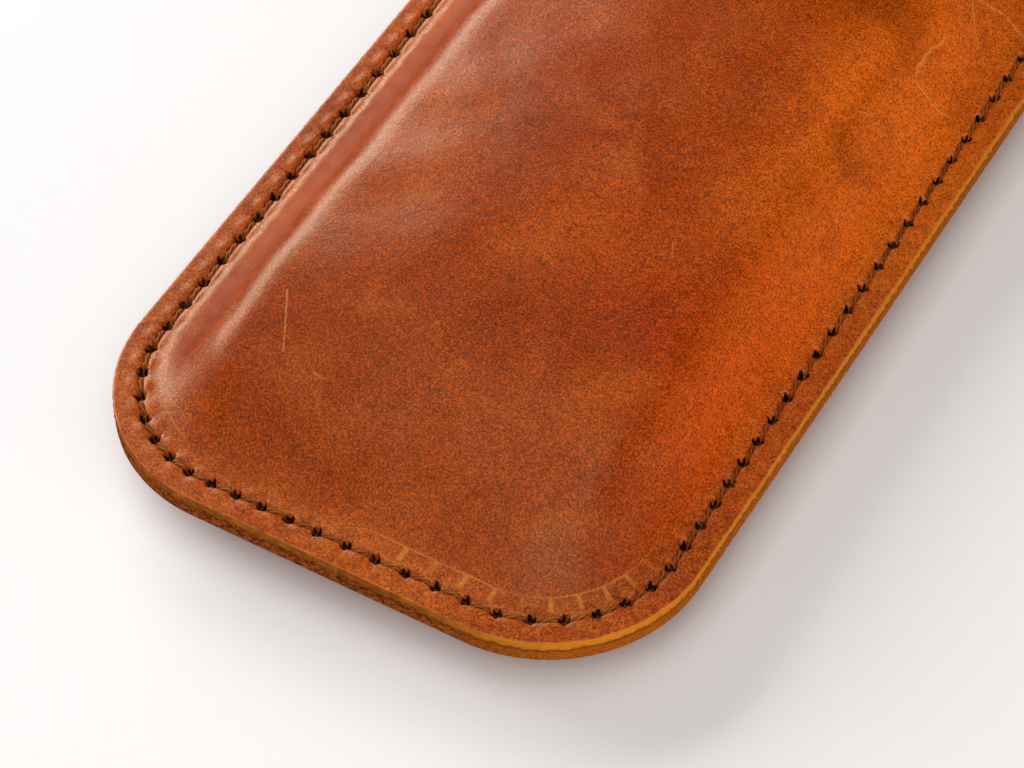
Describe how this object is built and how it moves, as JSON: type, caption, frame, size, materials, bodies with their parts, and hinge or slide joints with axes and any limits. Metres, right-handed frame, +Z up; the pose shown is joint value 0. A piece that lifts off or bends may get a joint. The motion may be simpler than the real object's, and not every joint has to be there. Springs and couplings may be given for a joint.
{
  "type": "leather pen case",
  "caption": "Slim moulded leather case for fountain pens, with a sewn seam round the closed end and a flap that folds over the mouth and snaps to the front.",
  "frame": {"origin": "centre of the footprint, on the surface the case lies on", "axes": "+Y along the case from the sewn closed end to the mouth and the folded strap, +Z up out of the front panel, +X across it to the right"},
  "size_m": [0.0838, 0.1786, 0.0294],
  "materials": {
    "hide": "waxed pull-up hide, orange-brown, fine grain",
    "suede": "brushed suede, tan",
    "thread": "waxed twisted thread, brown",
    "snap_metal": "antiqued brass"
  },
  "bodies": {
    "case": {"front_panel": "hide", "back_panel": "hide", "back_lining": "suede", "divider_left": "suede", "divider_right": "suede", "seam_needle_thread": "thread", "seam_bobbin_thread": "thread", "snap_stud": "snap_metal", "stud_rivet": "snap_metal", "stud_patch": "suede"},
    "spine": {"flap_spine": "hide", "spine_lining": "suede", "spine_needle_thread_left": "thread", "spine_needle_thread_right": "thread", "spine_bobbin_thread_left": "thread", "spine_bobbin_thread_right": "thread"},
    "flap": {"flap_panel": "hide", "flap_lining": "suede", "flap_needle_thread": "thread", "flap_bobbin_thread": "thread", "snap_cap": "snap_metal", "snap_socket": "snap_metal"}
  },
  "joints": [
    {"name": "lower_fold", "type": "hinge", "parent": "case", "child": "spine", "pos_m": [0, 0.0872, 0.0015], "axis": [-1, 0, 0], "range_deg": [0, 90]},
    {"name": "upper_fold", "type": "hinge", "parent": "spine", "child": "flap", "pos_m": [0, 0.0872, 0.0239], "axis": [-1, 0, 0], "range_deg": [0, 90]}
  ]
}
